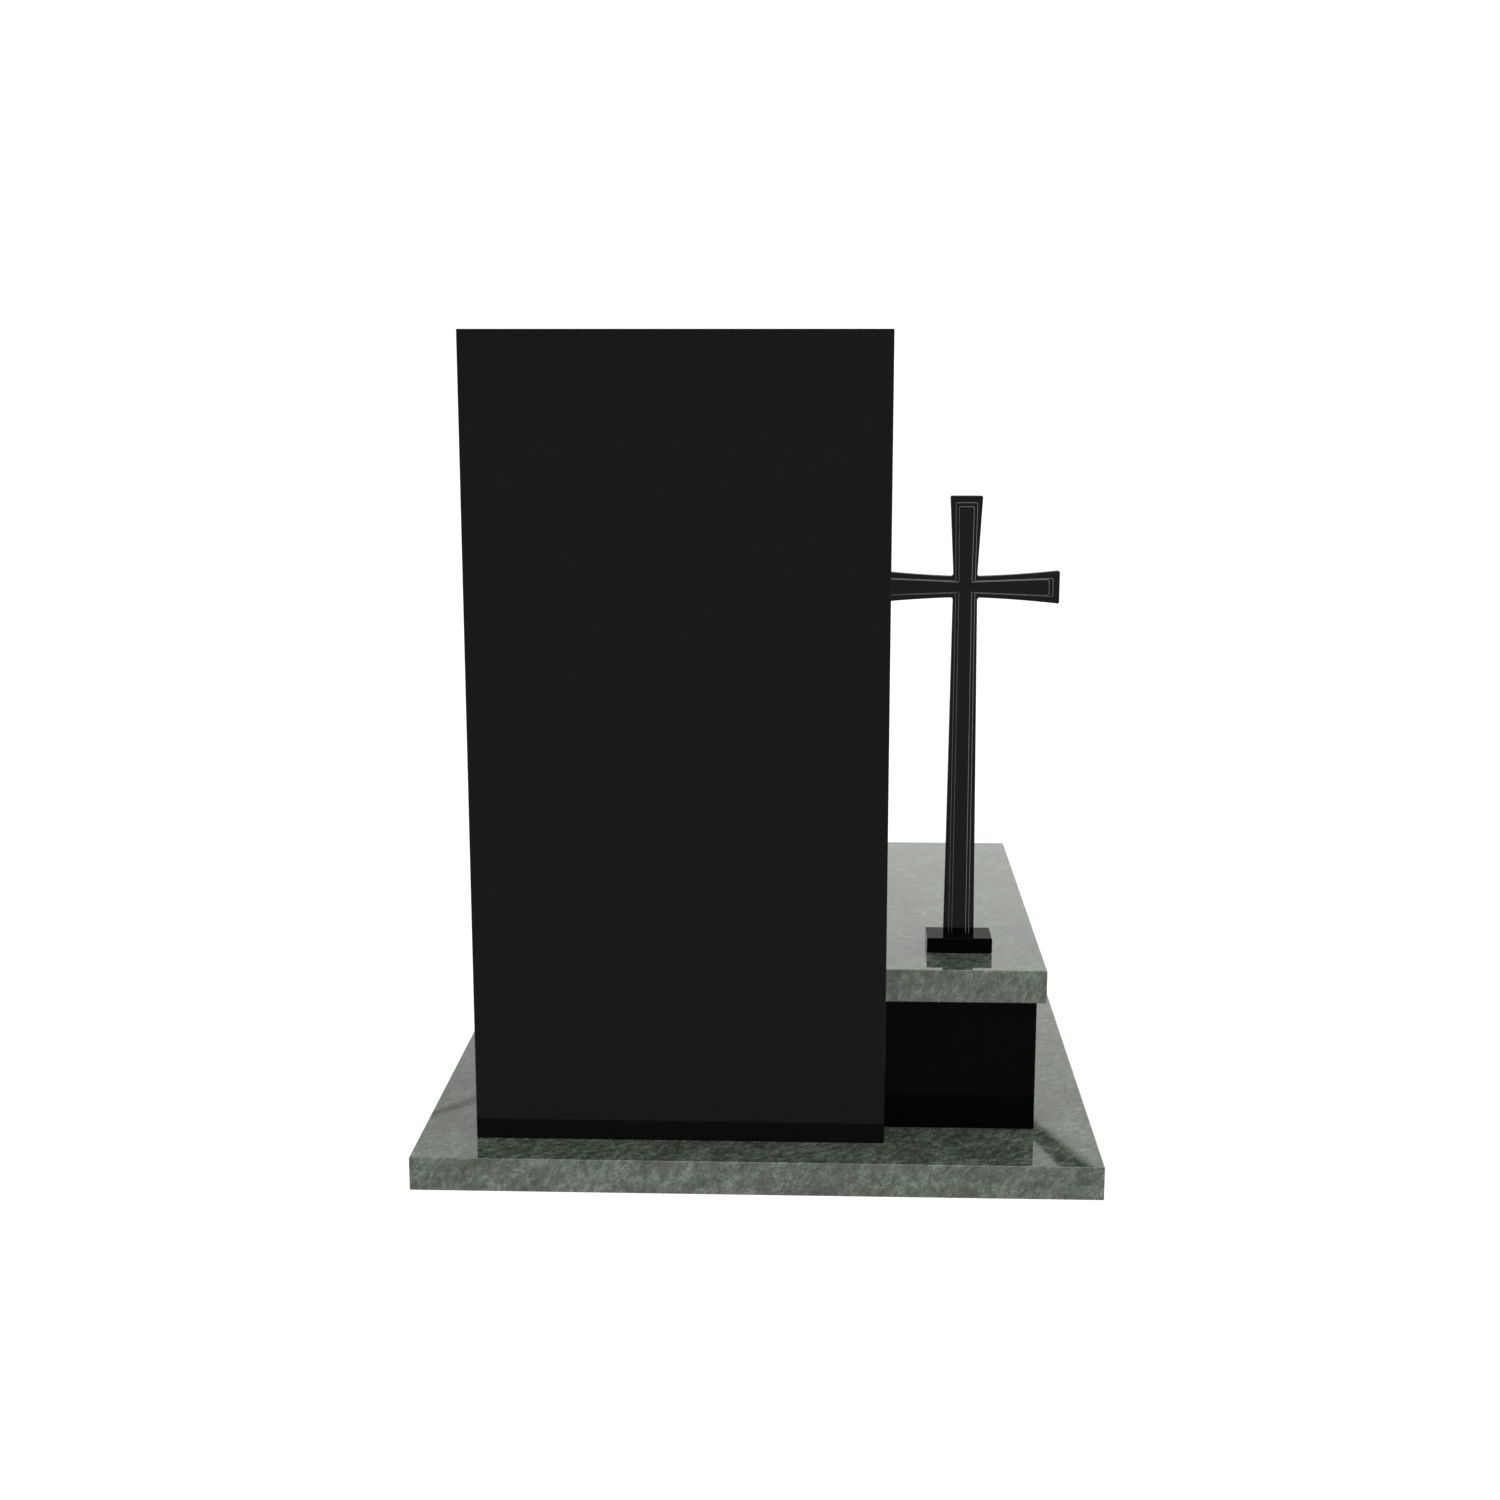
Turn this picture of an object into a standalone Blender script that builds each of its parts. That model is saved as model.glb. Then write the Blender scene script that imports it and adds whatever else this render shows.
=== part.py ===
"""Urn headstone: a square base slab carrying a tall upright slab, and behind it a
low stone chamber closed by a cover slab, with a small flared cross on the cover.

Units are metres. +Z is up. The origin is the centre of the base slab's underside.
-Y is the plain side of the upright slab, +Y is the side of the chamber.
"""

import bmesh
import bpy
from math import cos, pi, radians, sin
from mathutils import Vector

# Base slab
BASE_WIDTH = 1.000
BASE_DEPTH = 1.000
BASE_THICKNESS = 0.050

# Upright slab, placed from the base slab's left and near edges
STELE_WIDTH = 0.601
STELE_HEIGHT = 1.173
STELE_THICKNESS = 0.050
STELE_LEFT_MARGIN = 0.0862
STELE_NEAR_MARGIN = 0.0795

# Cover slab, behind the upright slab and flush with its left side, kept in from the
# base slab's right and far edges
COVER_THICKNESS = 0.050
COVER_RIGHT_MARGIN = 0.0751
COVER_FAR_MARGIN = 0.0680
COVER_JOINT = 0.0021

# Chamber walls under the cover slab
CHAMBER_HEIGHT = 0.200
WALL_THICKNESS = 0.050
COVER_OVERHANG = 0.0130

# Foot of the cross, its centre measured from the cover slab's right and near edges
FOOT_WIDTH = 0.098
FOOT_DEPTH = 0.0615
FOOT_HEIGHT = 0.0233
FOOT_FROM_RIGHT = 0.1238
FOOT_FROM_NEAR = 0.1176

# Cross: heights are above the foot, half widths are from a member's centre line.
# It stands a little behind the middle of its foot.
CROSS_HEIGHT = 0.6612
CROSS_SPAN = 0.2769
CROSS_THICKNESS = 0.0130
CROSS_SETBACK = 0.0054
ARM_HEIGHT = 0.5276
SHAFT_HALF_AT_FOOT = 0.0230
SHAFT_HALF_AT_ARM = 0.0178
HEAD_HALF_AT_ARM = 0.0166
HEAD_HALF_AT_TOP = 0.0239
ARM_HALF_AT_UPRIGHT = 0.0151
ARM_HALF_MIDWAY = 0.0183
ARM_HALF_AT_TIP = 0.0244
CROTCH_RADIUS = 0.0035
TIP_RADIUS = 0.0024
CROSS_EDGE = 0.0018

# Raised panel on both faces of the cross, on a terrace: each stands one step proud
STEP_RAISE = 0.0008
STEP_RUN = 0.0007
PANEL_HALF_AT_FOOT = 0.0101
PANEL_HALF_AT_ARM = 0.0090
PANEL_HALF_AT_TOP = 0.0108
PANEL_ARM_HALF_AT_UPRIGHT = 0.0067
PANEL_ARM_HALF_MIDWAY = 0.0095
PANEL_ARM_HALF_AT_TIP = 0.0121
PANEL_END_MARGIN = 0.0160
UPRIGHT_TERRACE = 0.0048
ARM_TERRACE = 0.0012
END_TERRACE = 0.0058
PANEL_RADIUS = 0.0010
PANEL_TIP_RADIUS = 0.0035
TERRACE_RADIUS = 0.0016

# Finish of the slabs and gaps
ARRIS = 0.0010
SEAT_GAP = 0.0003
CORNER_SEGMENTS = 6
FLARE_SEGMENTS = 6
SHARP_ANGLE = radians(30)

# Colours of the two stones and of the cross, linear RGB
GREEN_GRANITE = (0.110, 0.125, 0.106, 1.0)
BLACK_GRANITE = (0.010, 0.010, 0.010, 1.0)
CROSS_BLACK = (0.012, 0.012, 0.012, 1.0)
POLISHED_ROUGHNESS = 0.08
CROSS_ROUGHNESS = 0.15

# Levels, from the ground up
BASE_TOP = BASE_THICKNESS
STELE_BOTTOM = BASE_TOP + SEAT_GAP
WALL_BOTTOM = BASE_TOP + SEAT_GAP
WALL_TOP = BASE_TOP + CHAMBER_HEIGHT
COVER_BOTTOM = WALL_TOP + SEAT_GAP
COVER_TOP = WALL_TOP + COVER_THICKNESS
FOOT_BOTTOM = COVER_TOP + SEAT_GAP
FOOT_TOP = COVER_TOP + FOOT_HEIGHT
CROSS_BOTTOM = FOOT_TOP + SEAT_GAP

# Plan positions
BASE_LEFT = -BASE_WIDTH / 2
BASE_RIGHT = BASE_WIDTH / 2
BASE_NEAR = -BASE_DEPTH / 2
BASE_FAR = BASE_DEPTH / 2
STELE_LEFT = BASE_LEFT + STELE_LEFT_MARGIN
STELE_NEAR = BASE_NEAR + STELE_NEAR_MARGIN
STELE_FAR = STELE_NEAR + STELE_THICKNESS
COVER_LEFT = STELE_LEFT
COVER_RIGHT = BASE_RIGHT - COVER_RIGHT_MARGIN
COVER_NEAR = STELE_FAR + COVER_JOINT
COVER_FAR = BASE_FAR - COVER_FAR_MARGIN
CHAMBER_LEFT = COVER_LEFT + COVER_OVERHANG
CHAMBER_RIGHT = COVER_RIGHT - COVER_OVERHANG
CHAMBER_NEAR = COVER_NEAR + COVER_OVERHANG
CHAMBER_FAR = COVER_FAR - COVER_OVERHANG
FOOT_X = COVER_RIGHT - FOOT_FROM_RIGHT
FOOT_Y = COVER_NEAR + FOOT_FROM_NEAR
CROSS_Y = FOOT_Y + CROSS_SETBACK


def clear_scene():
    """Remove every object that the scene starts with."""
    for old in list(bpy.data.objects):
        bpy.data.objects.remove(old, do_unlink=True)


def stone(name, colour, roughness):
    """A polished stone: one colour, no metal, low roughness."""
    material = bpy.data.materials.new(name)
    material.use_nodes = True
    shader = material.node_tree.nodes["Principled BSDF"]
    shader.inputs["Base Color"].default_value = colour
    shader.inputs["Roughness"].default_value = roughness
    shader.inputs["Metallic"].default_value = 0.0
    return material


def add_object(name, mesh, material, location):
    """Put a mesh into the scene as a named object with its own material."""
    mesh.materials.append(material)
    item = bpy.data.objects.new(name, mesh)
    item.location = location
    bpy.context.scene.collection.objects.link(item)
    return item


def slab(name, low, high, material):
    """A sawn slab between two corners, its long edges eased with a small arris."""
    low = Vector(low)
    size = Vector(high) - low
    bm = bmesh.new()
    bmesh.ops.create_cube(bm, size=1.0)
    bmesh.ops.scale(bm, vec=size, verts=bm.verts)
    mesh = bpy.data.meshes.new(name)
    bm.to_mesh(mesh)
    bm.free()
    item = add_object(name, mesh, material, low + size / 2)
    ease = item.modifiers.new("arris", "BEVEL")
    ease.width = ARRIS
    ease.segments = 1
    ease.limit_method = "ANGLE"
    return item


def rounded_corner(before, corner, after, radius):
    """Points of an arc that rounds one corner of an outline in the plane."""
    inward = (before - corner).normalized()
    outward = (after - corner).normalized()
    half_angle = inward.angle(outward) / 2
    centre = corner + (inward + outward).normalized() * radius / sin(half_angle)
    reach = radius * cos(half_angle) / sin(half_angle)
    start = corner + inward * reach - centre
    turn = pi - 2 * half_angle
    if inward.x * outward.y - inward.y * outward.x > 0:
        turn = -turn
    points = []
    for step in range(CORNER_SEGMENTS + 1):
        angle = turn * step / CORNER_SEGMENTS
        points.append(centre + Vector((
            start.x * cos(angle) - start.y * sin(angle),
            start.x * sin(angle) + start.y * cos(angle),
        )))
    return points


def meet(line_a, line_b):
    """The point where two lines in the plane cross, each given by two points."""
    start_a, end_a = line_a
    start_b, end_b = line_b
    along_a = end_a - start_a
    along_b = end_b - start_b
    across = along_a.x * along_b.y - along_a.y * along_b.x
    apart = start_b - start_a
    share = (apart.x * along_b.y - apart.y * along_b.x) / across
    return start_a + along_a * share


def flare(upright, midway, tip, share):
    """Half height of an arm at a share of its reach, on a smooth curve through three sizes."""
    rise = 4 * midway - 3 * upright - tip
    bend = 2 * (upright + tip - 2 * midway)
    return upright + rise * share + bend * share ** 2


def cross_outline(uprights, arms, side_inset, arm_inset, end_inset, crotch, tip, top):
    """Open outline of a flared cross, its right half and then its left half.

    It runs from the foot's right corner up the right side, over the top and down to
    the foot's left corner. The uprights are half widths of the shaft at its foot and
    at the arms, and of the head at the arms and at its top. The arms are half heights
    at the upright, midway and at the tip. The insets move the uprights' sides, the
    arms' sides and the ends inwards. Crotches are rounded by crotch, the arms' ends by
    tip and the head's end by top.
    """
    at_foot, shaft_at_arm, head_at_arm, at_top = [half - side_inset for half in uprights]
    full_reach = CROSS_SPAN / 2
    reach = full_reach - end_inset
    end_height = CROSS_HEIGHT - end_inset
    shaft_side = (Vector((at_foot, 0.0)), Vector((shaft_at_arm, ARM_HEIGHT)))
    head_side = (Vector((head_at_arm, ARM_HEIGHT)), Vector((at_top, CROSS_HEIGHT)))
    head_end = (Vector((0.0, end_height)), Vector((reach, end_height)))
    sweep = []
    for step in range(FLARE_SEGMENTS + 1):
        share = step / FLARE_SEGMENTS
        sweep.append(Vector((full_reach * share, flare(*arms, share) - arm_inset)))
    over = [Vector((point.x, ARM_HEIGHT + point.y)) for point in sweep]
    under = [Vector((point.x, ARM_HEIGHT - point.y)) for point in sweep]
    arm_end = (Vector((reach, 0.0)), Vector((reach, end_height)))
    right = [(shaft_side[0], 0.0), (meet(shaft_side, under[0:2]), crotch)]
    right += [(point, 0.0) for point in under[1:-1]]
    right += [(meet(under[-2:], arm_end), tip), (meet(over[-2:], arm_end), tip)]
    right += [(point, 0.0) for point in reversed(over[1:-1])]
    right += [(meet(over[0:2], head_side), crotch), (meet(head_side, head_end), top)]
    left = [(Vector((-point.x, point.y)), radius) for point, radius in reversed(right)]
    corners = right + left
    points = [corners[0][0]]
    for index in range(1, len(corners) - 1):
        corner, radius = corners[index]
        if radius:
            before = corners[index - 1][0]
            after = corners[index + 1][0]
            points += rounded_corner(before, corner, after, radius)
        else:
            points.append(corner)
    points.append(corners[-1][0])
    return points


def cross_outlines():
    """Outlines of the cross and the depth of each, from the near panel to the rim."""
    outer = (SHAFT_HALF_AT_FOOT, SHAFT_HALF_AT_ARM, HEAD_HALF_AT_ARM, HEAD_HALF_AT_TOP)
    outer_arm = (ARM_HALF_AT_UPRIGHT, ARM_HALF_MIDWAY, ARM_HALF_AT_TIP)
    inner = (PANEL_HALF_AT_FOOT, PANEL_HALF_AT_ARM, PANEL_HALF_AT_ARM, PANEL_HALF_AT_TOP)
    inner_arm = (PANEL_ARM_HALF_AT_UPRIGHT, PANEL_ARM_HALF_MIDWAY, PANEL_ARM_HALF_AT_TIP)
    face = -CROSS_THICKNESS / 2

    def panel(spread):
        """The panel's outline, moved outwards, which turns its crotches tighter."""
        return cross_outline(inner, inner_arm, -spread, -spread, PANEL_END_MARGIN - spread,
                             PANEL_RADIUS + STEP_RUN - spread, PANEL_TIP_RADIUS + spread,
                             PANEL_RADIUS + spread)

    def terrace(spread):
        """The terrace's outline, moved outwards in the same way."""
        return cross_outline(inner, inner_arm, -UPRIGHT_TERRACE - spread,
                             -ARM_TERRACE - spread, PANEL_END_MARGIN - END_TERRACE - spread,
                             TERRACE_RADIUS + STEP_RUN - spread, TERRACE_RADIUS + spread,
                             TERRACE_RADIUS + spread)

    eased = cross_outline(outer, outer_arm, CROSS_EDGE, CROSS_EDGE, CROSS_EDGE,
                          CROTCH_RADIUS + CROSS_EDGE, TIP_RADIUS - CROSS_EDGE,
                          TIP_RADIUS - CROSS_EDGE)
    rim = cross_outline(outer, outer_arm, 0.0, 0.0, 0.0, CROTCH_RADIUS, TIP_RADIUS, TIP_RADIUS)
    return [
        (panel(0.0), face - 2 * STEP_RAISE),
        (panel(STEP_RUN), face - STEP_RAISE),
        (terrace(0.0), face - STEP_RAISE),
        (terrace(STEP_RUN), face),
        (eased, face),
        (rim, face + CROSS_EDGE),
    ]


def cross_body(name, material, location):
    """The cross: flared members, eased edges and a stepped panel on both faces.

    The body is lofted through open outlines from the near panel over the rim to the
    far panel. The two panels and the flat underside close it.
    """
    near_side = cross_outlines()
    far_side = [(outline, -depth) for outline, depth in reversed(near_side)]
    bm = bmesh.new()
    rings = []
    for outline, depth in near_side + far_side:
        rings.append([bm.verts.new((point.x, depth, point.y)) for point in outline])
    for ring, following in zip(rings, rings[1:]):
        for index in range(len(ring) - 1):
            bm.faces.new((ring[index], ring[index + 1], following[index + 1], following[index]))
    bm.faces.new(rings[0])
    bm.faces.new(rings[-1])
    underside = [ring[0] for ring in rings] + [ring[-1] for ring in reversed(rings)]
    bm.faces.new(underside)
    bmesh.ops.recalc_face_normals(bm, faces=bm.faces)
    mesh = bpy.data.meshes.new(name)
    bm.to_mesh(mesh)
    bm.free()
    mesh.shade_smooth()
    mesh.set_sharp_from_angle(angle=SHARP_ANGLE)
    return add_object(name, mesh, material, location)


def build_slabs():
    """The base slab, the upright slab and the cover slab."""
    slab("base_slab",
         (BASE_LEFT, BASE_NEAR, 0.0),
         (BASE_RIGHT, BASE_FAR, BASE_TOP),
         stone("base green granite", GREEN_GRANITE, POLISHED_ROUGHNESS))
    slab("stele",
         (STELE_LEFT, STELE_NEAR, STELE_BOTTOM),
         (STELE_LEFT + STELE_WIDTH, STELE_FAR, BASE_TOP + STELE_HEIGHT),
         stone("stele black granite", BLACK_GRANITE, POLISHED_ROUGHNESS))
    slab("cover_slab",
         (COVER_LEFT, COVER_NEAR, COVER_BOTTOM),
         (COVER_RIGHT, COVER_FAR, COVER_TOP),
         stone("cover green granite", GREEN_GRANITE, POLISHED_ROUGHNESS))


def build_chamber():
    """Four walls: the near and far ones at full width, the side ones between them."""
    side_near = CHAMBER_NEAR + WALL_THICKNESS + SEAT_GAP
    side_far = CHAMBER_FAR - WALL_THICKNESS - SEAT_GAP
    walls = {
        "chamber_near_wall": (CHAMBER_LEFT, CHAMBER_RIGHT,
                              CHAMBER_NEAR, CHAMBER_NEAR + WALL_THICKNESS),
        "chamber_far_wall": (CHAMBER_LEFT, CHAMBER_RIGHT,
                             CHAMBER_FAR - WALL_THICKNESS, CHAMBER_FAR),
        "chamber_left_wall": (CHAMBER_LEFT, CHAMBER_LEFT + WALL_THICKNESS,
                              side_near, side_far),
        "chamber_right_wall": (CHAMBER_RIGHT - WALL_THICKNESS, CHAMBER_RIGHT,
                               side_near, side_far),
    }
    for name, (left, right, near, far) in walls.items():
        slab(name,
             (left, near, WALL_BOTTOM),
             (right, far, WALL_TOP),
             stone(name + " black granite", BLACK_GRANITE, POLISHED_ROUGHNESS))


def build_cross():
    """The foot on the cover slab and the cross that stands on it."""
    slab("cross_foot",
         (FOOT_X - FOOT_WIDTH / 2, FOOT_Y - FOOT_DEPTH / 2, FOOT_BOTTOM),
         (FOOT_X + FOOT_WIDTH / 2, FOOT_Y + FOOT_DEPTH / 2, FOOT_TOP),
         stone("foot black", CROSS_BLACK, CROSS_ROUGHNESS))
    cross_body("cross",
               stone("cross black", CROSS_BLACK, CROSS_ROUGHNESS),
               (FOOT_X, CROSS_Y, CROSS_BOTTOM))


def main():
    clear_scene()
    build_slabs()
    build_chamber()
    build_cross()


main()
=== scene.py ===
"""Dresses the urn headstone: polished granites, a finely stepped cross and a studio.

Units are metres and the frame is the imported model's own: +Z is up and -Y is the
plain side of the upright slab, which the camera sees. The file is laid out as an
add-on and is run as a script.
"""

from math import cos, pi, radians, sin

import bmesh
import bpy
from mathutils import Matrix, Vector


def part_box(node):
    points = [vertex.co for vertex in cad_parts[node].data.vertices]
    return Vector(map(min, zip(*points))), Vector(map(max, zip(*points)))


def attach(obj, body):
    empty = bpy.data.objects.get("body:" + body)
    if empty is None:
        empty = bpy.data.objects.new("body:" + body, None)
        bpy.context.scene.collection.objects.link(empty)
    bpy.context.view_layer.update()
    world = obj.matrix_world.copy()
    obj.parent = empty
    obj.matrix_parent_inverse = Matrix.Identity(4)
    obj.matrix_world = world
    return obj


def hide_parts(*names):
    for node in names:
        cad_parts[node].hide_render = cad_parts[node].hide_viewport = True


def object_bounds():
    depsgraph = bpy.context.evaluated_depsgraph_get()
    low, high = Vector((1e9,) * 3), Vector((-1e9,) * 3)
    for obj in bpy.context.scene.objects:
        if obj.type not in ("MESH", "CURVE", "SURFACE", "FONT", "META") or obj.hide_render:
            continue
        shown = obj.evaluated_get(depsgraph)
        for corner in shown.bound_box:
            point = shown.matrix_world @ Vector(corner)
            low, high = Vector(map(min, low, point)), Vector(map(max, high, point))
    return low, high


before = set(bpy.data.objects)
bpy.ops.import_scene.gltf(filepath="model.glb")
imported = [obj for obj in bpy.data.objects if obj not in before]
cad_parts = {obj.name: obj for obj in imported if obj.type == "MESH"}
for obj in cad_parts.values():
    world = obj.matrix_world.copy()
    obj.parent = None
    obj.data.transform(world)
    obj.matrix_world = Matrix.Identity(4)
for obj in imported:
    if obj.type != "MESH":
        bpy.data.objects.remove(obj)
CAD_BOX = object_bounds()

bl_info = {
    "name": "Urn headstone finish",
    "version": (1, 0, 0),
    "blender": (4, 5, 0),
    "location": "3D View > Sidebar > Headstone",
    "description": "Polished granites, a stepped cross and a plain studio for an urn headstone",
    "category": "Object",
}

BODY = "root"
MILLIMETRE = 0.001

CHAMBER_WALLS = ("chamber_near_wall", "chamber_far_wall", "chamber_left_wall", "chamber_right_wall")
CROSS_LOW, CROSS_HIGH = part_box("cross")

# The way that the streaks run in each green slab, which part of the block it was sawn from,
# how strongly its figure shows and the roughness of its polish
GREEN_SLABS = {
    "base_slab": (Vector((1.3, 1.3, 1.5)), (0.0, 0.21, 0.0), 0.94, 0.018),
    "cover_slab": (Vector((0.8, 1.0, 1.75)), (0.37, 0.21, 0.0), 0.82, 0.05),
}
# How far the green stone's summed pattern runs to either side of its middle
FIGURE_REACH = 0.26
# How wide one bend of the green flow is, in cloud widths, and how wide a veil in the black
# stone and a scratch of the matt finishes are, in crystal widths
BEND_WIDTH = 1.6
VEIL_WIDTH = 12
SCRATCH_WIDTH = 0.15
# The roughness of the smoothest and the roughest crystals, as shares of the polish
GREEN_GLOSS = (0.6, 1.4)
BLACK_GLOSS = (0.7, 1.3)
# The darkest and the palest tone of the matt finishes, as shares of their colour
MATT_SPREAD = (0.85, 1.15)
# How deep the relief of each finish is
GREEN_RELIEF = 0.01 * MILLIMETRE
BLACK_RELIEF = 0.005 * MILLIMETRE
MATT_RELIEF = 0.01 * MILLIMETRE

# How strongly each stone mirrors, as an index of refraction
GREEN_IOR = 1.56
STELE_IOR = 1.157
CHAMBER_IOR = 1.08
CROSS_IOR = 1.22
MATT_IOR = 1.3
# How much of the black stone's colour shows in each black piece
STELE_DEPTH = 0.93
CHAMBER_DEPTH = 0.38
CROSS_DEPTH = 0.3

# Faces along the cross's curves, and where an arm's flare leaves the rounded crotch
CORNER_SEGMENTS = 8
FLARE_SEGMENTS = 12
FLARE_START = 3
STEP_SEGMENTS = 5
EDGE_SEGMENTS = 6
# Edges of the cross that turn further than this stay sharp
SHARP_ANGLE = radians(60)
# Material slots of the cross. The ground slot's pale tone is painted highlight: it draws the bright
# lines along the steps' edges.
POLISHED = 0
GROUND_STEP_HIGHLIGHT = 1
HONED = 2

FLOOR_HALF = 30.0
# Spots of the floor's mottle in a metre, and its darkest tone as a share of its colour
MOTTLE_SCALE = 3.0
MOTTLE_DARKEST = 0.985
SENSOR_WIDTH = 36.0

# Directions in the surround are unit vectors: X to the right, Y to the far side and Z up.
# Its brightness changes from the left's to the right's between these two values of X.
SIDE_CHANGE = (-0.18, 0.12)
# It falls off at the far and the near side, as Z rises from the first to the second value
# and as Y goes from the third to the fourth.
FAR_FALL = (0.23, 0.6, -0.1, 0.3)
NEAR_FALL = (0.1, 0.2, 0.2, -0.5)
# The direction of the middle of the panel overhead, and where its soft edge starts and
# ends, as cosines of the angle from that middle
OVERHEAD = (0.4, -0.2, 0.894)
OVERHEAD_EDGE = (0.55, 0.95)
# Seams between the surround's white panels, which mirror in the polished base: how dark one
# is, and its soft edges. Each edge is a plane's normal and where the dark starts and is full.
# The first is the dark seam at the right, the second the panel above it, which is a little
# darker than the others, and the third the thin seam at the left.
SEAMS = (
    (1.0, (((0.987, 0.2894, -1.0), -0.0018, -0.0002), ((-0.815, -0.2974, 1.0), -0.0018, 0.0027),
           ((1.0, -0.06, 0.0), -0.01, 0.0), ((0.0, 1.0, 0.0), 0.0, 0.1))),
    (0.15, (((-0.987, -0.2894, 1.0), -0.001, 0.001), ((1.0, -0.06, 0.0), -0.01, 0.0),
            ((0.0, 1.0, 0.0), 0.0, 0.1))),
    (0.5, (((0.3527, -0.3146, 1.0), -0.0022, -0.0008), ((-0.3527, 0.3146, -1.0), -0.0022, -0.0008),
           ((-1.0, -0.17, 0.0), -0.005, 0.005), ((0.0, 1.0, 0.0), 0.0, 0.1))),
)


def linear(text):
    """An sRGB hex colour as linear red, green and blue."""
    channels = [int(text[start:start + 2], 16) / 255 for start in (1, 3, 5)]
    return tuple(
        value / 12.92 if value <= 0.04045 else ((value + 0.055) / 1.055) ** 2.4
        for value in channels
    )


def length(name, description, millimetres):
    """A size property, stated in millimetres and kept in metres."""
    return bpy.props.FloatProperty(
        name=name, description=description, default=millimetres * MILLIMETRE,
        min=0.0, precision=4, unit="LENGTH")


def colour(name, description, text):
    """A colour property, stated as an sRGB hex value and kept as linear RGB."""
    return bpy.props.FloatVectorProperty(
        name=name, description=description, default=linear(text),
        min=0.0, max=1.0, size=3, subtype="COLOR")


def amount(name, description, value, highest=1.0):
    """A plain number property between nothing and a highest value."""
    return bpy.props.FloatProperty(
        name=name, description=description, default=value, min=0.0, max=highest, precision=4)


class HeadstoneGreenStone(bpy.types.PropertyGroup):
    """Figure and colours of the green-grey granite."""

    dark: colour("Dark minerals", "Green-black hornblende and biotite", "#262b25")
    body: colour("Body", "The stone's main green-grey", "#424941")
    pale: colour("Pale minerals", "Whitish feldspar in the flow", "#666e66")
    brown: colour("Warm cloud", "Faint brown cloud in the green", "#49483e")
    sheen: colour("Sheen", "Faint green of the mirrored light", "#fcfff9")
    crystal: length("Crystal", "Width of one crystal", 2.6)
    grain: length("Grain", "Width of the finest grain", 1.3)
    streak: length("Streak", "Width of one streak of the flow", 11.0)
    cloud: length("Cloud", "Width of the broad clouds", 52.0)
    stretch: amount("Stretch", "How much longer than wide a streak is", 2.6, 10.0)
    bend: amount("Bend", "How far the flow wanders, in streak widths", 2.2, 10.0)
    cloud_share: amount("Cloud share", "Strength of the clouds against the streaks", 0.5)
    crystal_share: amount("Crystal share", "Strength of the crystals against the streaks", 0.25)
    grain_share: amount("Grain share", "Strength of the finest grain against the streaks", 0.58)
    warmth: amount("Warmth", "How fully the warm cloud takes over where it is strongest", 0.7)


class HeadstoneBlackStone(bpy.types.PropertyGroup):
    """Colours and finishes of the black granites, with the pale tone of the cross's steps, which is
    painted highlight.
    """

    black: colour("Black", "Body of the black granite", "#0b0b0b")
    fleck: colour("Fleck", "Small paler crystals in the black", "#111111")
    # The ground step's pale tone is painted highlight: it stands in for the bright lines that light
    # draws along the cross's step edges.
    ground: colour("Ground step painted highlight", "Ground black granite, its pale tone painted as the steps' highlight", "#707070")
    honed: colour("Honed flank", "Black granite that is honed and not polished", "#4e4e4e")
    crystal: length("Crystal", "Width of one crystal", 2.0)
    polish: amount("Polish", "Roughness of the mirror polish", 0.03)
    ground_polish: amount("Ground roughness", "Roughness of the ground steps", 0.45)
    honed_polish: amount("Honed roughness", "Roughness of the honed flanks", 0.6)


class HeadstoneCross(bpy.types.PropertyGroup):
    """Sizes of the cross: half widths are from a member's centre line."""

    arm_height: length("Arm height", "Centre of the arms above the cross's underside", 527.6)
    shaft_at_foot: length("Shaft at the foot", "Shaft's half width at its foot", 23.0)
    shaft_at_arm: length("Shaft at the arms", "Shaft's half width at the arms", 17.8)
    head_at_arm: length("Head at the arms", "Head's half width at the arms", 16.6)
    head_at_top: length("Head at the top", "Head's half width at its top", 23.9)
    arm_inside: length("Arm inside", "Arm's half height at the upright", 15.1)
    arm_midway: length("Arm midway", "Arm's half height midway", 18.3)
    arm_at_tip: length("Arm at the tip", "Arm's half height at its end", 24.4)
    crotch: length("Crotch radius", "Rounding where the arms meet the upright", 3.5)
    tip: length("Tip radius", "Rounding of the corners at the ends", 2.4)
    edge: length("Eased edge", "Rounding of the outer edges", 1.8)
    step_raise: length("Step height", "How far each step of the face stands out", 0.8)
    step_run: length("Step run", "How wide the ground side of each step is", 0.7)
    panel_at_foot: length("Panel at the foot", "Panel's half width at the foot", 10.1)
    panel_at_arm: length("Panel at the arms", "Panel's half width at the arms", 9.0)
    panel_at_top: length("Panel at the top", "Panel's half width at the top", 10.8)
    panel_arm_inside: length("Panel arm inside", "Panel's half height at the upright", 6.7)
    panel_arm_midway: length("Panel arm midway", "Panel's half height midway", 9.5)
    panel_arm_at_tip: length("Panel arm at the tip", "Panel's half height at the arm's end", 12.1)
    panel_end: length("Panel end margin", "Panel's distance from the ends", 16.0)
    upright_terrace: length("Upright terrace", "Terrace's width along the upright", 4.8)
    arm_terrace: length("Arm terrace", "Terrace's width along the arms", 1.2)
    end_terrace: length("End terrace", "Terrace's width at the ends", 5.8)
    panel_radius: length("Panel corner", "Rounding of the panel's corners", 1.0)
    panel_tip_radius: length("Panel tip corner", "Rounding of its corners at the arms' ends", 3.5)
    terrace_radius: length("Terrace corner", "Rounding of the terrace's corners", 1.6)


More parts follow.
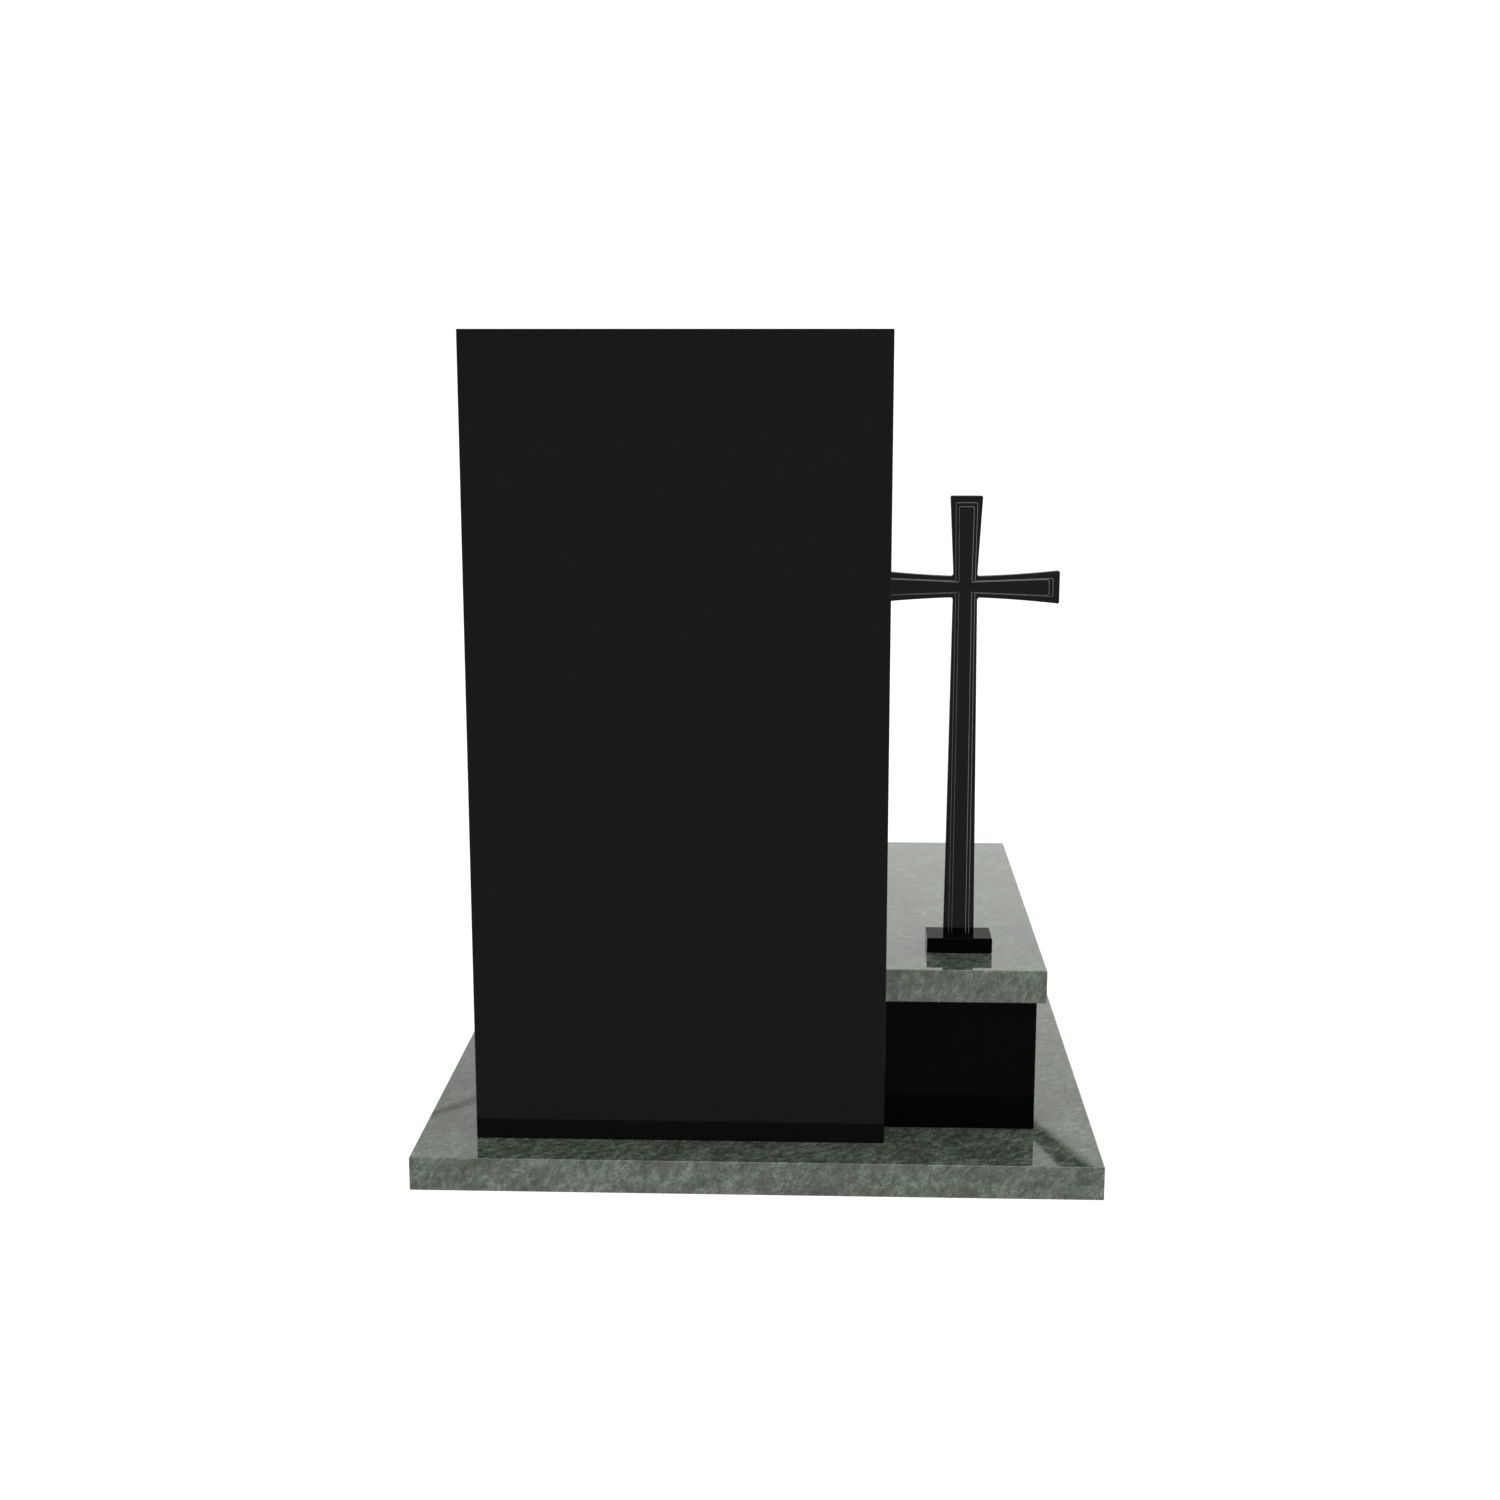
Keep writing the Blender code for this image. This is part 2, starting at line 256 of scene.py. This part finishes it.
class HeadstoneStudio(bpy.types.PropertyGroup):
    """The floor, the light and the camera."""

    floor: colour("Floor", "Pale matt studio floor", "#6c6c6c")
    floor_glow: amount("Floor glow", "Light that comes up through the floor", 0.93, 10.0)
    sky_tint: colour("Surround", "Very faint warm green of the white panels", "#fefffd")
    sky_left: amount("Surround at the left", "Brightness of the white surround", 1.08, 10.0)
    sky_right: amount("Surround at the right", "Brightness of the white surround", 1.27, 10.0)
    near_fall: amount("Fall at the near side", "How much darker it is high at the near side", 0.28)
    far_fall: amount("Fall at the far side", "How much darker it is high at the far side", 0.4)
    overhead: amount("Overhead panel", "Brightness that it adds overhead, more to the right", 1.35, 10.0)
    lens: bpy.props.FloatProperty(
        name="Lens", description="Focal length in millimetres on a 36 mm sensor", default=50.0)
    camera_place: bpy.props.FloatVectorProperty(
        name="Camera place", description="Where the camera stands", size=3,
        subtype="TRANSLATION", unit="LENGTH", default=(0.0993, -3.3189, 1.2017))
    tilt: bpy.props.FloatProperty(
        name="Tilt", description="How far the camera looks down", subtype="ANGLE",
        default=radians(11.012))
    turn: bpy.props.FloatProperty(
        name="Turn", description="How far the camera looks to the left", subtype="ANGLE",
        default=radians(2.157))


def add_node(tree, kind, settings=None, inputs=None, stops=None):
    """Adds a node with its settings, its values or links, and a ramp's colour stops."""
    node = tree.nodes.new(kind)
    for key, value in (settings or {}).items():
        setattr(node, key, value)
    for key, value in (inputs or {}).items():
        if isinstance(value, bpy.types.NodeSocket):
            tree.links.new(value, node.inputs[key])
        else:
            node.inputs[key].default_value = value
    for index, (place, tint) in enumerate(stops or ()):
        ramp = node.color_ramp
        if index < len(ramp.elements):
            ramp.elements[index].position = place
        else:
            ramp.elements.new(place)
        ramp.elements[index].color = (*tint, 1.0)
    return node


def new_material(name):
    """An empty node material with its tree, Principled shader and object coordinates."""
    material = bpy.data.materials.new(name)
    material.use_nodes = True
    tree = material.node_tree
    shader = tree.nodes["Principled BSDF"]
    place = add_node(tree, "ShaderNodeTexCoord").outputs["Object"]
    return material, tree, shader, place


def green_granite(name, flow, offset, contrast, polish):
    """Green-grey granite, sawn and mirror-polished, from a block with a slanting flow.

    Soft streaks and clouds run through crystals of a few millimetres, and the polish
    is even, so the eye sees the surroundings in it as in dark glass.
    """
    stone = bpy.context.scene.headstone_green_stone
    material, tree, shader, place = new_material(name)
    lean = flow.to_track_quat("X", "Z").to_euler()
    bend = add_node(tree, "ShaderNodeTexNoise", inputs={
        "Vector": place, "Scale": 1 / (BEND_WIDTH * stone.cloud), "Detail": 2.0})
    centred = add_node(tree, "ShaderNodeVectorMath", {"operation": "SUBTRACT"},
                       {0: bend.outputs["Color"], 1: (0.5, 0.5, 0.5)})
    scaled = add_node(tree, "ShaderNodeVectorMath", {"operation": "SCALE"},
                      {0: centred.outputs["Vector"], "Scale": stone.bend * stone.streak})
    bent = add_node(tree, "ShaderNodeVectorMath", {"operation": "ADD"},
                    {0: place, 1: scaled.outputs["Vector"]})
    along = add_node(tree, "ShaderNodeMapping", {"vector_type": "TEXTURE"}, {
        "Vector": bent.outputs["Vector"], "Location": offset, "Rotation": lean,
        "Scale": (stone.stretch, 1.0, 1.0)})
    drawn = along.outputs["Vector"]
    streaks = add_node(tree, "ShaderNodeTexNoise", inputs={
        "Vector": drawn, "Scale": 1 / stone.streak, "Detail": 3.0, "Roughness": 0.6})
    clouds = add_node(tree, "ShaderNodeTexNoise", inputs={
        "Vector": drawn, "Scale": 1 / stone.cloud, "Detail": 2.0})
    crystals = add_node(tree, "ShaderNodeTexVoronoi", inputs={
        "Vector": drawn, "Scale": 1 / stone.crystal, "Randomness": 1.0})
    crystal = add_node(tree, "ShaderNodeSeparateColor", inputs={
        "Color": crystals.outputs["Color"]})
    grains = add_node(tree, "ShaderNodeTexNoise", inputs={
        "Vector": place, "Scale": 1 / stone.grain, "Detail": 1.0})
    total = streaks.outputs["Fac"]
    for source, share in ((clouds.outputs["Fac"], stone.cloud_share),
                          (crystal.outputs["Red"], stone.crystal_share),
                          (grains.outputs["Fac"], stone.grain_share)):
        total = add_node(tree, "ShaderNodeMath", {"operation": "MULTIPLY_ADD"},
                         {0: source, 1: share, 2: total}).outputs["Value"]
    middle = (1 + stone.cloud_share + stone.crystal_share + stone.grain_share) / 2
    tone = add_node(tree, "ShaderNodeMapRange", inputs={
        "Value": total, "From Min": middle - FIGURE_REACH / contrast,
        "From Max": middle + FIGURE_REACH / contrast}).outputs["Result"]
    shade = add_node(tree, "ShaderNodeValToRGB", inputs={"Fac": tone}, stops=(
        (0.0, stone.dark), (0.5, stone.body), (1.0, stone.pale)))
    hue = add_node(tree, "ShaderNodeSeparateColor", inputs={"Color": streaks.outputs["Color"]})
    warmth = add_node(tree, "ShaderNodeMapRange", inputs={
        "Value": hue.outputs["Blue"], "From Min": 0.5, "From Max": 0.75,
        "To Max": stone.warmth})
    tinted = add_node(tree, "ShaderNodeMix", {"data_type": "RGBA"}, {
        0: warmth.outputs["Result"], 6: shade.outputs["Color"], 7: (*stone.brown, 1.0)})
    gloss = add_node(tree, "ShaderNodeMapRange", inputs={
        "Value": crystal.outputs["Green"], "To Min": GREEN_GLOSS[0] * polish,
        "To Max": GREEN_GLOSS[1] * polish})
    relief = add_node(tree, "ShaderNodeBump", inputs={
        "Height": crystals.outputs["Distance"], "Strength": 0.1, "Distance": GREEN_RELIEF})
    shader.inputs["IOR"].default_value = GREEN_IOR
    shader.inputs["Specular Tint"].default_value = (*stone.sheen, 1.0)
    tree.links.new(tinted.outputs[2], shader.inputs["Base Color"])
    tree.links.new(gloss.outputs["Result"], shader.inputs["Roughness"])
    tree.links.new(relief.outputs["Normal"], shader.inputs["Normal"])
    return material


def black_granite(name, ior, depth):
    """Black granite, fine-grained and mirror-polished.

    The crystals are under a millimetre in the real stone and are drawn coarser here,
    so that a faint life shows in the black. Depth is how much of the colour shows.
    """
    stone = bpy.context.scene.headstone_black_stone
    material, tree, shader, place = new_material(name)
    crystals = add_node(tree, "ShaderNodeTexVoronoi", inputs={
        "Vector": place, "Scale": 1 / stone.crystal})
    crystal = add_node(tree, "ShaderNodeSeparateColor", inputs={
        "Color": crystals.outputs["Color"]})
    veil = add_node(tree, "ShaderNodeTexNoise", inputs={
        "Vector": place, "Scale": 1 / (VEIL_WIDTH * stone.crystal), "Detail": 3.0})
    fleck = add_node(tree, "ShaderNodeMath", {"operation": "MULTIPLY"},
                     {0: crystal.outputs["Red"], 1: veil.outputs["Fac"]})
    shade = add_node(tree, "ShaderNodeValToRGB", inputs={"Fac": fleck.outputs["Value"]}, stops=(
        (0.1, [depth * value for value in stone.black]),
        (0.8, [depth * value for value in stone.fleck])))
    gloss = add_node(tree, "ShaderNodeMapRange", inputs={
        "Value": crystal.outputs["Green"], "To Min": BLACK_GLOSS[0] * stone.polish,
        "To Max": BLACK_GLOSS[1] * stone.polish})
    relief = add_node(tree, "ShaderNodeBump", inputs={
        "Height": crystals.outputs["Distance"], "Strength": 0.1, "Distance": BLACK_RELIEF})
    shader.inputs["IOR"].default_value = ior
    tree.links.new(shade.outputs["Color"], shader.inputs["Base Color"])
    tree.links.new(gloss.outputs["Result"], shader.inputs["Roughness"])
    tree.links.new(relief.outputs["Normal"], shader.inputs["Normal"])
    return material


def matt_granite(name, tone, roughness):
    """Black granite left as the wheel leaves it, ground or honed: matt, paler than polished. On the
    cross's steps the pale ground tone is painted highlight along their edges.
    """
    stone = bpy.context.scene.headstone_black_stone
    material, tree, shader, place = new_material(name)
    scratches = add_node(tree, "ShaderNodeTexNoise", inputs={
        "Vector": place, "Scale": 1 / (SCRATCH_WIDTH * stone.crystal), "Detail": 2.0})
    shade = add_node(tree, "ShaderNodeValToRGB", inputs={"Fac": scratches.outputs["Fac"]}, stops=(
        (0.3, [MATT_SPREAD[0] * value for value in tone]),
        (0.7, [MATT_SPREAD[1] * value for value in tone])))
    relief = add_node(tree, "ShaderNodeBump", inputs={
        "Height": scratches.outputs["Fac"], "Strength": 0.2, "Distance": MATT_RELIEF})
    shader.inputs["Roughness"].default_value = roughness
    shader.inputs["IOR"].default_value = MATT_IOR
    tree.links.new(shade.outputs["Color"], shader.inputs["Base Color"])
    tree.links.new(relief.outputs["Normal"], shader.inputs["Normal"])
    return material


def floor_acrylic(name):
    """Frosted white acrylic lit softly from below: an even tone with the faintest mottle."""
    studio = bpy.context.scene.headstone_studio
    material, tree, shader, place = new_material(name)
    mottle = add_node(tree, "ShaderNodeTexNoise", inputs={
        "Vector": place, "Scale": MOTTLE_SCALE, "Detail": 4.0})
    shade = add_node(tree, "ShaderNodeValToRGB", inputs={"Fac": mottle.outputs["Fac"]}, stops=(
        (0.3, [MOTTLE_DARKEST * value for value in studio.floor]), (0.7, studio.floor)))
    shader.inputs["Roughness"].default_value = 0.9
    shader.inputs["Emission Color"].default_value = (1.0, 1.0, 1.0, 1.0)
    shader.inputs["Emission Strength"].default_value = studio.floor_glow
    tree.links.new(shade.outputs["Color"], shader.inputs["Base Color"])
    return material


def dress(node, material):
    """Give a carried-over node its finished material."""
    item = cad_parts[node]
    item.data.materials.clear()
    item.data.materials.append(material)


def rounded_corner(before, corner, after, radius):
    """Points of an arc that rounds one corner of an outline in the plane."""
    inward = (before - corner).normalized()
    outward = (after - corner).normalized()
    half_angle = inward.angle(outward) / 2
    centre = corner + (inward + outward).normalized() * radius / sin(half_angle)
    reach = radius * cos(half_angle) / sin(half_angle)
    start = corner + inward * reach - centre
    turn = pi - 2 * half_angle
    if inward.x * outward.y - inward.y * outward.x > 0:
        turn = -turn
    points = []
    for step in range(CORNER_SEGMENTS + 1):
        angle = turn * step / CORNER_SEGMENTS
        points.append(centre + Vector((
            start.x * cos(angle) - start.y * sin(angle),
            start.x * sin(angle) + start.y * cos(angle),
        )))
    return points


def meet(line_a, line_b):
    """The point where two lines in the plane cross, each given by two points."""
    along_a = line_a[1] - line_a[0]
    along_b = line_b[1] - line_b[0]
    across = along_a.x * along_b.y - along_a.y * along_b.x
    apart = line_b[0] - line_a[0]
    share = (apart.x * along_b.y - apart.y * along_b.x) / across
    return line_a[0] + along_a * share


def flare(inside, midway, tip, share):
    """Half height of an arm at a share of its reach, on a smooth curve through three sizes."""
    rise = 4 * midway - 3 * inside - tip
    bend = 2 * (inside + tip - 2 * midway)
    return inside + rise * share + bend * share ** 2


def cross_outline(uprights, arms, side_inset, arm_inset, end_inset, crotch, tip, top):
    """Open outline of a flared cross, from the foot's right corner over to its left one.

    The uprights are half widths of the shaft at its foot and at the arms, and of the
    head at the arms and at its top. The arms are half heights at the upright, midway
    and at the tip. The insets move the sides, the arms' sides and the ends inwards.
    Crotches are rounded by crotch, the arms' ends by tip and the head's end by top.
    """
    sizes = bpy.context.scene.headstone_cross
    height = CROSS_HIGH.z - CROSS_LOW.z
    reach = (CROSS_HIGH.x - CROSS_LOW.x) / 2
    at_foot, shaft_at_arm, head_at_arm, at_top = [half - side_inset for half in uprights]
    middle = sizes.arm_height
    end_x = reach - end_inset
    end_z = height - end_inset
    shaft_side = (Vector((at_foot, 0.0)), Vector((shaft_at_arm, middle)))
    head_side = (Vector((head_at_arm, middle)), Vector((at_top, height)))
    arm_end = (Vector((end_x, 0.0)), Vector((end_x, end_z)))
    head_end = (Vector((0.0, end_z)), Vector((end_x, end_z)))
    over = []
    under = []
    for step in range(FLARE_SEGMENTS + 1):
        out = end_x * step / FLARE_SEGMENTS
        half = flare(*arms, out / reach) - arm_inset
        over.append(Vector((out, middle + half)))
        under.append(Vector((out, middle - half)))
    right = [(shaft_side[0], 0.0), (meet(shaft_side, under[1:3]), crotch)]
    right += [(point, 0.0) for point in under[FLARE_START:-1]]
    right += [(meet(under[-2:], arm_end), tip), (meet(over[-2:], arm_end), tip)]
    right += [(point, 0.0) for point in reversed(over[FLARE_START:-1])]
    right += [(meet(over[1:3], head_side), crotch), (meet(head_side, head_end), top)]
    corners = right + [(Vector((-point.x, point.y)), radius) for point, radius in reversed(right)]
    points = [corners[0][0]]
    for index in range(1, len(corners) - 1):
        corner, radius = corners[index]
        if radius:
            points += rounded_corner(corners[index - 1][0], corner, corners[index + 1][0], radius)
        else:
            points.append(corner)
    points.append(corners[-1][0])
    return points


def cross_rings():
    """Outlines of the cross with their depths and materials, from the near panel to the rim."""
    sizes = bpy.context.scene.headstone_cross
    outer = (sizes.shaft_at_foot, sizes.shaft_at_arm, sizes.head_at_arm, sizes.head_at_top)
    outer_arm = (sizes.arm_inside, sizes.arm_midway, sizes.arm_at_tip)
    inner = (sizes.panel_at_foot, sizes.panel_at_arm, sizes.panel_at_arm, sizes.panel_at_top)
    inner_arm = (sizes.panel_arm_inside, sizes.panel_arm_midway, sizes.panel_arm_at_tip)
    front = (CROSS_LOW.y - CROSS_HIGH.y) / 2
    face = front + 2 * sizes.step_raise

    def step(depth, terrace, arm_terrace, end_margin, radius, tip_radius):
        """Outlines down one step, its side curved in at the foot and over at the top."""
        rings = []
        for index in range(STEP_SEGMENTS + 1):
            share = index / STEP_SEGMENTS
            spread = share * sizes.step_run
            # Each step's side takes the ground slot, whose pale tone is painted highlight along the step
            # edges.
            rings.append((
                cross_outline(inner, inner_arm, -terrace - spread, -arm_terrace - spread,
                              end_margin - spread, radius + sizes.step_run - spread,
                              tip_radius + spread, radius + spread),
                depth + sizes.step_raise * (1 - cos(pi * share)) / 2,
                GROUND_STEP_HIGHLIGHT if index else POLISHED))
        return rings

    rings = step(front, 0.0, 0.0, sizes.panel_end, sizes.panel_radius, sizes.panel_tip_radius)
    rings += step(front + sizes.step_raise, sizes.upright_terrace, sizes.arm_terrace,
                  sizes.panel_end - sizes.end_terrace, sizes.terrace_radius,
                  sizes.terrace_radius)
    for index in range(EDGE_SEGMENTS + 1):
        angle = radians(90) * index / EDGE_SEGMENTS
        inset = sizes.edge * (1 - sin(angle))
        rings.append((
            cross_outline(outer, outer_arm, inset, inset, inset, sizes.crotch + inset,
                          sizes.tip - inset, sizes.tip - inset),
            face + sizes.edge * (1 - cos(angle)),
            POLISHED))
    return rings


def build_cross(name, materials):
    """The cross as one closed mesh, lofted from its near panel over the rim to the far one."""
    near = cross_rings()
    far = []
    kinds = [kind for outline, depth, kind in near]
    for index, (outline, depth, kind) in enumerate(reversed(near)):
        far.append((outline, -depth, kinds[-index] if index else HONED))
    middle = (CROSS_LOW + CROSS_HIGH) / 2
    bm = bmesh.new()
    loops = []
    for outline, depth, kind in near + far:
        loops.append([bm.verts.new((middle.x + point.x, middle.y + depth, CROSS_LOW.z + point.y))
                      for point in outline])
    for row in range(1, len(loops)):
        before, after = loops[row - 1], loops[row]
        for index in range(len(before) - 1):
            face = bm.faces.new((before[index], before[index + 1], after[index + 1], after[index]))
            face.material_index = (near + far)[row][2]
    bm.faces.new(loops[0])
    bm.faces.new(loops[-1])
    bm.faces.new([loop[0] for loop in loops] + [loop[-1] for loop in reversed(loops)])
    bmesh.ops.recalc_face_normals(bm, faces=bm.faces)
    mesh = bpy.data.meshes.new(name)
    bm.to_mesh(mesh)
    bm.free()
    mesh.shade_smooth()
    mesh.set_sharp_from_angle(angle=SHARP_ANGLE)
    for material in materials:
        mesh.materials.append(material)
    item = bpy.data.objects.new(name, mesh)
    bpy.context.scene.collection.objects.link(item)
    flat = item.modifiers.new("flat faces stay flat", "WEIGHTED_NORMAL")
    flat.keep_sharp = True
    return item


class HEADSTONE_OT_green_slabs(bpy.types.Operator):
    """Give the base slab and the cover slab their polished green-grey granite."""

    bl_idname = "headstone.green_slabs"
    bl_label = "Green slabs"

    def execute(self, context):
        for node, facts in GREEN_SLABS.items():
            dress(node, green_granite(node + " polished green granite", *facts))
        return {"FINISHED"}


class HEADSTONE_OT_stele(bpy.types.Operator):
    """Give the upright slab its mirror-polished black granite."""

    bl_idname = "headstone.stele"
    bl_label = "Upright slab"

    def execute(self, context):
        dress("stele", black_granite("mirror-polished black granite", STELE_IOR, STELE_DEPTH))
        return {"FINISHED"}


class HEADSTONE_OT_chamber(bpy.types.Operator):
    """Give the four chamber walls a deeper black granite."""

    bl_idname = "headstone.chamber"
    bl_label = "Chamber walls"

    def execute(self, context):
        walls = black_granite("deep black granite", CHAMBER_IOR, CHAMBER_DEPTH)
        for node in CHAMBER_WALLS:
            dress(node, walls)
        return {"FINISHED"}


class HEADSTONE_OT_cross(bpy.types.Operator):
    """Build the stepped cross and dress its foot."""

    bl_idname = "headstone.cross"
    bl_label = "Cross and foot"

    def execute(self, context):
        dress("cross_foot", black_granite("foot deep black granite", CHAMBER_IOR, CHAMBER_DEPTH))
        stone = context.scene.headstone_black_stone
        # The ground steps' pale tone is painted highlight along the step edges.
        cross = build_cross("stepped_cross", (
            black_granite("cross polished black granite", CROSS_IOR, CROSS_DEPTH),
            matt_granite("cross ground step granite with painted highlight", stone.ground, stone.ground_polish),
            matt_granite("cross honed flank granite", stone.honed, stone.honed_polish)))
        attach(cross, BODY)
        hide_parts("cross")
        return {"FINISHED"}


class HEADSTONE_OT_studio(bpy.types.Operator):
    """Lay the pale floor, hang the soft light and set up the camera."""

    bl_idname = "headstone.studio"
    bl_label = "Studio"

    def execute(self, context):
        scene = context.scene
        studio = scene.headstone_studio
        lay_floor(scene)
        light_surround(scene, studio)
        set_camera(scene, studio)
        scene.view_settings.view_transform = "Standard"
        return {"FINISHED"}


def lay_floor(scene):
    """A wide plain floor, just under the base slab."""
    bm = bmesh.new()
    bmesh.ops.create_grid(bm, x_segments=1, y_segments=1, size=FLOOR_HALF)
    mesh = bpy.data.meshes.new("studio_floor")
    bm.to_mesh(mesh)
    bm.free()
    mesh.materials.append(floor_acrylic("frosted acrylic lit from below"))
    floor = bpy.data.objects.new("studio_floor", mesh)
    floor.location.z = CAD_BOX[0].z
    scene.collection.objects.link(floor)


def light_surround(scene, studio):
    """A surround of white panels, brighter overhead and at the right, with two dark seams."""
    world = bpy.data.worlds.new("white studio surround")
    world.use_nodes = True
    scene.world = world
    tree = world.node_tree
    direction = add_node(tree, "ShaderNodeTexCoord").outputs["Generated"]
    axes = add_node(tree, "ShaderNodeSeparateXYZ", inputs={"Vector": direction})
    brightness = add_node(tree, "ShaderNodeMapRange", inputs={
        "Value": axes.outputs["X"], "From Min": SIDE_CHANGE[0], "From Max": SIDE_CHANGE[1],
        "To Min": studio.sky_left, "To Max": studio.sky_right}).outputs["Result"]
    falls = ((studio.far_fall, *FAR_FALL), (studio.near_fall, *NEAR_FALL))
    for lost, low, high, start, full in falls:
        raised = add_node(tree, "ShaderNodeMapRange", inputs={
            "Value": axes.outputs["Z"], "From Min": low, "From Max": high})
        aside = add_node(tree, "ShaderNodeMapRange", inputs={
            "Value": axes.outputs["Y"], "From Min": start, "From Max": full, "To Max": lost})
        loss = add_node(tree, "ShaderNodeMath", {"operation": "MULTIPLY"}, {
            0: raised.outputs["Result"], 1: aside.outputs["Result"]})
        kept = add_node(tree, "ShaderNodeMath", {"operation": "SUBTRACT"}, {
            0: 1.0, 1: loss.outputs["Value"]})
        brightness = add_node(tree, "ShaderNodeMath", {"operation": "MULTIPLY"}, {
            0: brightness, 1: kept.outputs["Value"]}).outputs["Value"]
    toward = add_node(tree, "ShaderNodeVectorMath", {"operation": "DOT_PRODUCT"},
                      {0: direction, 1: OVERHEAD})
    overhead = add_node(tree, "ShaderNodeMapRange", {"interpolation_type": "SMOOTHSTEP"}, {
        "Value": toward.outputs["Value"], "From Min": OVERHEAD_EDGE[0],
        "From Max": OVERHEAD_EDGE[1], "To Max": studio.overhead})
    brightness = add_node(tree, "ShaderNodeMath", {"operation": "ADD"}, {
        0: brightness, 1: overhead.outputs["Result"]}).outputs["Value"]
    for depth, edges in SEAMS:
        shade = depth
        for normal, start, full in edges:
            side = add_node(tree, "ShaderNodeVectorMath", {"operation": "DOT_PRODUCT"},
                            {0: direction, 1: normal})
            inside = add_node(tree, "ShaderNodeMapRange", inputs={
                "Value": side.outputs["Value"], "From Min": start, "From Max": full})
            shade = add_node(tree, "ShaderNodeMath", {"operation": "MULTIPLY"},
                             {0: inside.outputs["Result"], 1: shade}).outputs["Value"]
        open_share = add_node(tree, "ShaderNodeMath", {"operation": "SUBTRACT"},
                              {0: 1.0, 1: shade}).outputs["Value"]
        brightness = add_node(tree, "ShaderNodeMath", {"operation": "MULTIPLY"},
                              {0: brightness, 1: open_share}).outputs["Value"]
    background = tree.nodes["Background"]
    background.inputs["Color"].default_value = (*studio.sky_tint, 1.0)
    tree.links.new(brightness, background.inputs["Strength"])


def set_camera(scene, studio):
    """The camera, level and looking a little down and to the left."""
    lens = bpy.data.cameras.new("camera")
    lens.lens = studio.lens
    lens.sensor_width = SENSOR_WIDTH
    camera = bpy.data.objects.new("camera", lens)
    camera.location = studio.camera_place
    camera.rotation_euler = (radians(90) - studio.tilt, 0.0, studio.turn)
    scene.collection.objects.link(camera)
    scene.camera = camera


class HEADSTONE_PT_sidebar(bpy.types.Panel):
    """Lists the steps that finish the headstone."""

    bl_label = "Urn headstone"
    bl_idname = "HEADSTONE_PT_sidebar"
    bl_space_type = "VIEW_3D"
    bl_region_type = "UI"
    bl_category = "Headstone"

    def draw(self, context):
        for operator in OPERATORS:
            self.layout.operator(operator.bl_idname)


PROPERTY_GROUPS = {
    "headstone_green_stone": HeadstoneGreenStone,
    "headstone_black_stone": HeadstoneBlackStone,
    "headstone_cross": HeadstoneCross,
    "headstone_studio": HeadstoneStudio,
}
OPERATORS = (
    HEADSTONE_OT_green_slabs,
    HEADSTONE_OT_stele,
    HEADSTONE_OT_chamber,
    HEADSTONE_OT_cross,
    HEADSTONE_OT_studio,
)


def register():
    """Register the classes and hang the property groups on the scene."""
    for item in (*PROPERTY_GROUPS.values(), *OPERATORS, HEADSTONE_PT_sidebar):
        bpy.utils.register_class(item)
    for name, group in PROPERTY_GROUPS.items():
        setattr(bpy.types.Scene, name, bpy.props.PointerProperty(type=group))


def unregister():
    """Take the property groups off the scene and unregister the classes."""
    for name in PROPERTY_GROUPS:
        delattr(bpy.types.Scene, name)
    for item in (HEADSTONE_PT_sidebar, *reversed(OPERATORS), *PROPERTY_GROUPS.values()):
        bpy.utils.unregister_class(item)


def main():
    """Run every step in order."""
    register()
    bpy.ops.headstone.green_slabs()
    bpy.ops.headstone.stele()
    bpy.ops.headstone.chamber()
    bpy.ops.headstone.cross()
    bpy.ops.headstone.studio()


if __name__ == "__main__":
    main()
